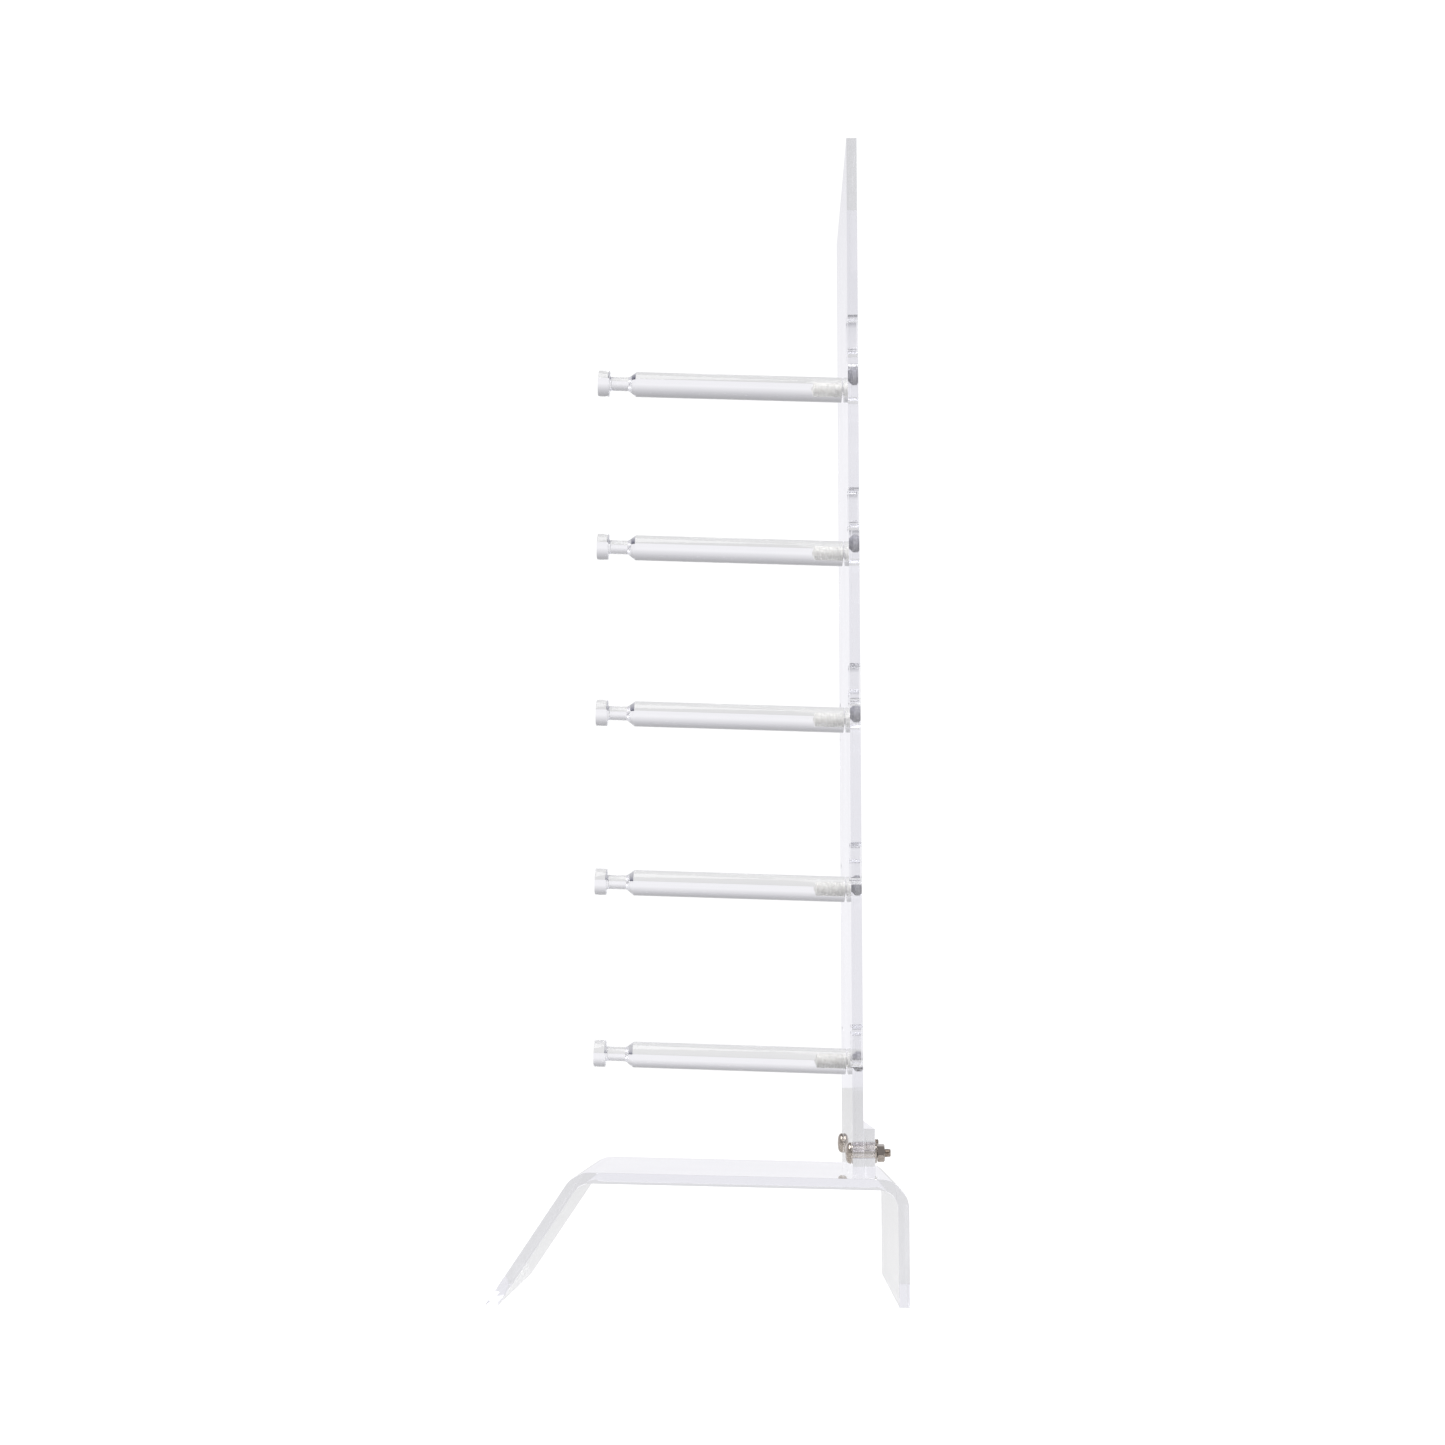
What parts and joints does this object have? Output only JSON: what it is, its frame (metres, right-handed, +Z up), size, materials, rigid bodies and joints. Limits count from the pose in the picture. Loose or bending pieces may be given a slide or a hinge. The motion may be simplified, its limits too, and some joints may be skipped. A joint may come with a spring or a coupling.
{
  "type": "eyeglass display rack",
  "caption": "Clear acrylic counter rack for eyeglasses: bent sheet base, bolted upright panel with temple slots, and a column of grooved nose rods.",
  "frame": {"origin": "on the floor, in the middle of the base's width and depth", "axes": "+Z up along the panel, the nose rods point to -Y, X is the width and X = 0 the plane of symmetry"},
  "size_m": [0.165, 0.1828, 0.5215],
  "materials": {
    "clear_sheet": "clear cast acrylic sheet, nominal 5 mm (4.7 mm), polished edges",
    "clear_rod": "clear turned acrylic rod, 12 mm, frosted tapped hole",
    "clear_screw": "clear moulded plastic",
    "nickel_plate": "nickel-plated steel, polished"
  },
  "bodies": {
    "rack": {"base": "clear_sheet", "mounting_tab": "clear_sheet", "back_panel": "clear_sheet", "panel_washer_left": "nickel_plate", "panel_washer_right": "nickel_plate"},
    "nose_rod_1": {"nose_rod_1": "clear_rod"},
    "rod_screw_1": {"rod_screw_1": "clear_screw"},
    "nose_rod_2": {"nose_rod_2": "clear_rod"},
    "rod_screw_2": {"rod_screw_2": "clear_screw"},
    "nose_rod_3": {"nose_rod_3": "clear_rod"},
    "rod_screw_3": {"rod_screw_3": "clear_screw"},
    "nose_rod_4": {"nose_rod_4": "clear_rod"},
    "rod_screw_4": {"rod_screw_4": "clear_screw"},
    "nose_rod_5": {"nose_rod_5": "clear_rod"},
    "rod_screw_5": {"rod_screw_5": "clear_screw"},
    "panel_bolt_left": {"panel_bolt_left": "nickel_plate"},
    "panel_nut_left": {"panel_nut_left": "nickel_plate"},
    "panel_bolt_right": {"panel_bolt_right": "nickel_plate"},
    "panel_nut_right": {"panel_nut_right": "nickel_plate"}
  },
  "joints": [
    {"name": "rod_1_unthread", "type": "slide", "parent": "rack", "child": "nose_rod_1", "axis": [0, -0.9995, 0.0332], "range_m": [0, 0.0112]},
    {"name": "screw_1_turn", "type": "hinge", "parent": "rack", "child": "rod_screw_1", "pos_m": [0, 0.0674, 0.104], "axis": [0, 0.9995, -0.0332], "range_deg": [0, 5760]},
    {"name": "rod_2_unthread", "type": "slide", "parent": "rack", "child": "nose_rod_2", "axis": [0, -0.9995, 0.0332], "range_m": [0, 0.0112]},
    {"name": "screw_2_turn", "type": "hinge", "parent": "rack", "child": "rod_screw_2", "pos_m": [0, 0.0674, 0.184], "axis": [0, 0.9995, -0.0332], "range_deg": [0, 5760]},
    {"name": "rod_3_unthread", "type": "slide", "parent": "rack", "child": "nose_rod_3", "axis": [0, -0.9995, 0.0332], "range_m": [0, 0.0112]},
    {"name": "screw_3_turn", "type": "hinge", "parent": "rack", "child": "rod_screw_3", "pos_m": [0, 0.0674, 0.264], "axis": [0, 0.9995, -0.0332], "range_deg": [0, 5760]},
    {"name": "rod_4_unthread", "type": "slide", "parent": "rack", "child": "nose_rod_4", "axis": [0, -0.9995, 0.0332], "range_m": [0, 0.0112]},
    {"name": "screw_4_turn", "type": "hinge", "parent": "rack", "child": "rod_screw_4", "pos_m": [0, 0.0674, 0.344], "axis": [0, 0.9995, -0.0332], "range_deg": [0, 5760]},
    {"name": "rod_5_unthread", "type": "slide", "parent": "rack", "child": "nose_rod_5", "axis": [0, -0.9995, 0.0332], "range_m": [0, 0.0112]},
    {"name": "screw_5_turn", "type": "hinge", "parent": "rack", "child": "rod_screw_5", "pos_m": [0, 0.0674, 0.424], "axis": [0, 0.9995, -0.0332], "range_deg": [0, 5760]},
    {"name": "nut_left_unthread", "type": "slide", "parent": "rack", "child": "panel_nut_left", "axis": [0, 1, 0], "range_m": [0, 0.0063]},
    {"name": "bolt_left_turn", "type": "hinge", "parent": "rack", "child": "panel_bolt_left", "pos_m": [-0.06, 0.0674, 0.0645], "axis": [0, -1, 0], "range_deg": [0, 3240]},
    {"name": "nut_right_unthread", "type": "slide", "parent": "rack", "child": "panel_nut_right", "axis": [0, 1, 0], "range_m": [0, 0.0063]},
    {"name": "bolt_right_turn", "type": "hinge", "parent": "rack", "child": "panel_bolt_right", "pos_m": [0.06, 0.0674, 0.0645], "axis": [0, -1, 0], "range_deg": [0, 3240]}
  ],
  "couplings": [
    {"joint": "screw_1_turn", "follows": "rod_1_unthread", "rad_per_m": 8976},
    {"joint": "screw_2_turn", "follows": "rod_2_unthread", "rad_per_m": 8976},
    {"joint": "screw_3_turn", "follows": "rod_3_unthread", "rad_per_m": 8976},
    {"joint": "screw_4_turn", "follows": "rod_4_unthread", "rad_per_m": 8976},
    {"joint": "screw_5_turn", "follows": "rod_5_unthread", "rad_per_m": 8976},
    {"joint": "bolt_left_turn", "follows": "nut_left_unthread", "rad_per_m": 8976},
    {"joint": "bolt_right_turn", "follows": "nut_right_unthread", "rad_per_m": 8976}
  ]
}
